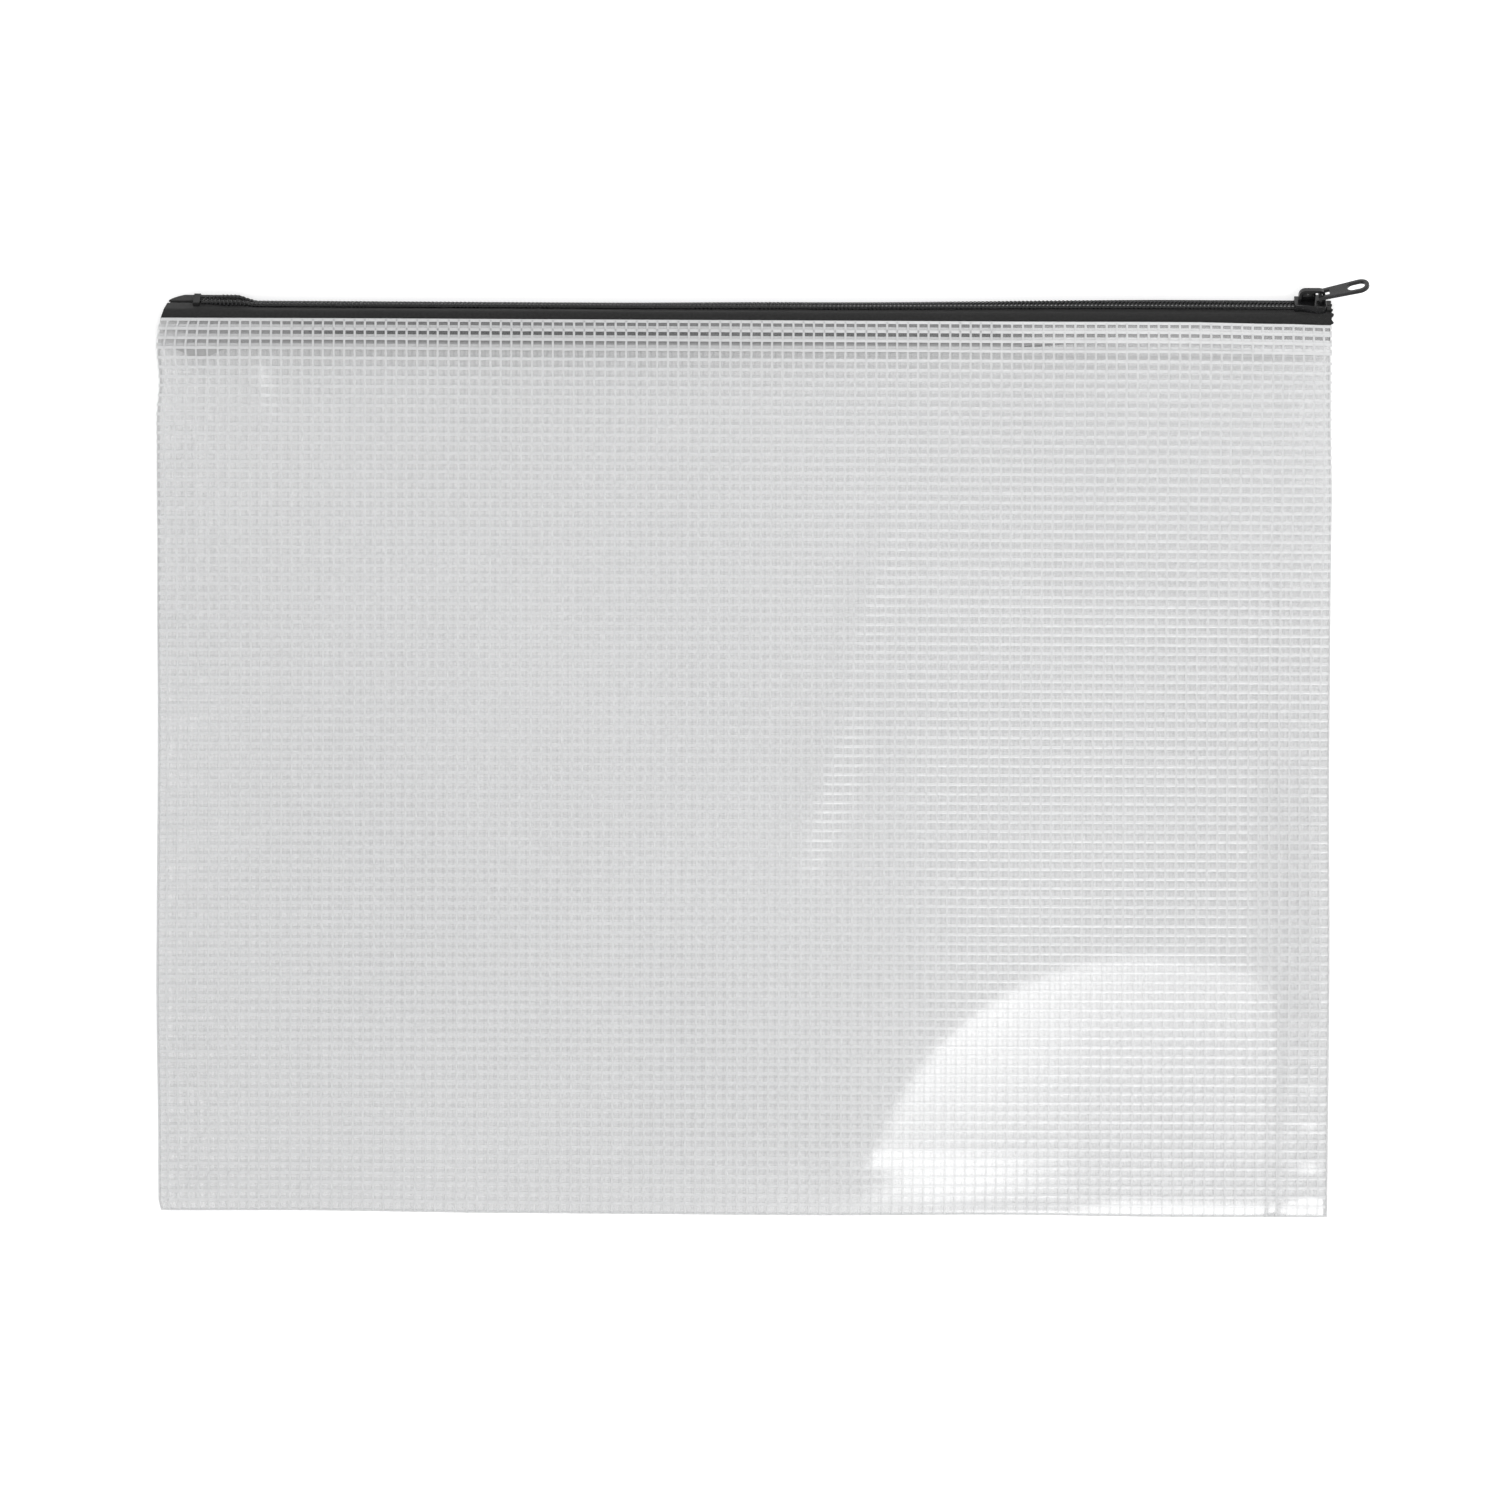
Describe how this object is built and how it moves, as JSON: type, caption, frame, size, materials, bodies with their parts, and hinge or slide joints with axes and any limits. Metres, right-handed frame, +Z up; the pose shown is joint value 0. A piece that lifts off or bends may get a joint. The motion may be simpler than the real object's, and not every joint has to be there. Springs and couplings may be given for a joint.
{
  "type": "document wallet",
  "caption": "Flat zip-top document wallet of translucent mesh-reinforced film, with a coil zip along its top edge, a slider and a swinging pull tab.",
  "frame": {"origin": "on the table plane, under the middle of the film pouch (zip and pull left out)", "axes": "+X along the zip towards the closed end, +Y from the bottom fold towards the zip, +Z up from the table through the front film"},
  "size_m": [0.3604, 0.2804, 0.0125],
  "materials": {
    "film": "frosted translucent film with a woven grid inside",
    "tape": "woven black tape",
    "coil": "black nylon coil",
    "thread": "black sewing thread",
    "stop_metal": "black lacquer",
    "slider_metal": "gloss black lacquer"
  },
  "bodies": {
    "pouch": {"back_panel": "film", "front_panel": "film", "front_bottom_border": "film", "front_left_border": "film", "front_right_border": "film", "front_mouth_band": "film", "front_left_corner": "film", "front_right_corner": "film", "bottom_fold": "film", "left_side_seam": "film", "right_side_seam": "film", "front_hem": "film", "back_hem": "film", "front_tape": "tape", "front_tape_flap": "tape", "back_tape": "tape", "back_tape_flap": "tape", "front_coil": "coil", "back_coil": "coil", "front_core_cord": "thread", "back_core_cord": "thread", "front_stitching": "thread", "back_stitching": "thread", "front_top_stop": "stop_metal", "back_top_stop": "stop_metal", "bottom_stop": "stop_metal"},
    "slider": {"slider_body": "slider_metal", "slider_bail": "slider_metal"},
    "pull": {"pull_tab": "slider_metal"}
  },
  "joints": [
    {"name": "zip_slide", "type": "slide", "parent": "pouch", "child": "slider", "axis": [-1, 0, 0], "range_m": [0, 0.326], "deforming": ["front_coil", "back_coil"]},
    {"name": "pull_swing", "type": "hinge", "parent": "slider", "child": "pull", "pos_m": [0.171, 0.14218, 0.00783], "axis": [0, -0.6428, 0.766], "range_deg": [0, 104]}
  ]
}
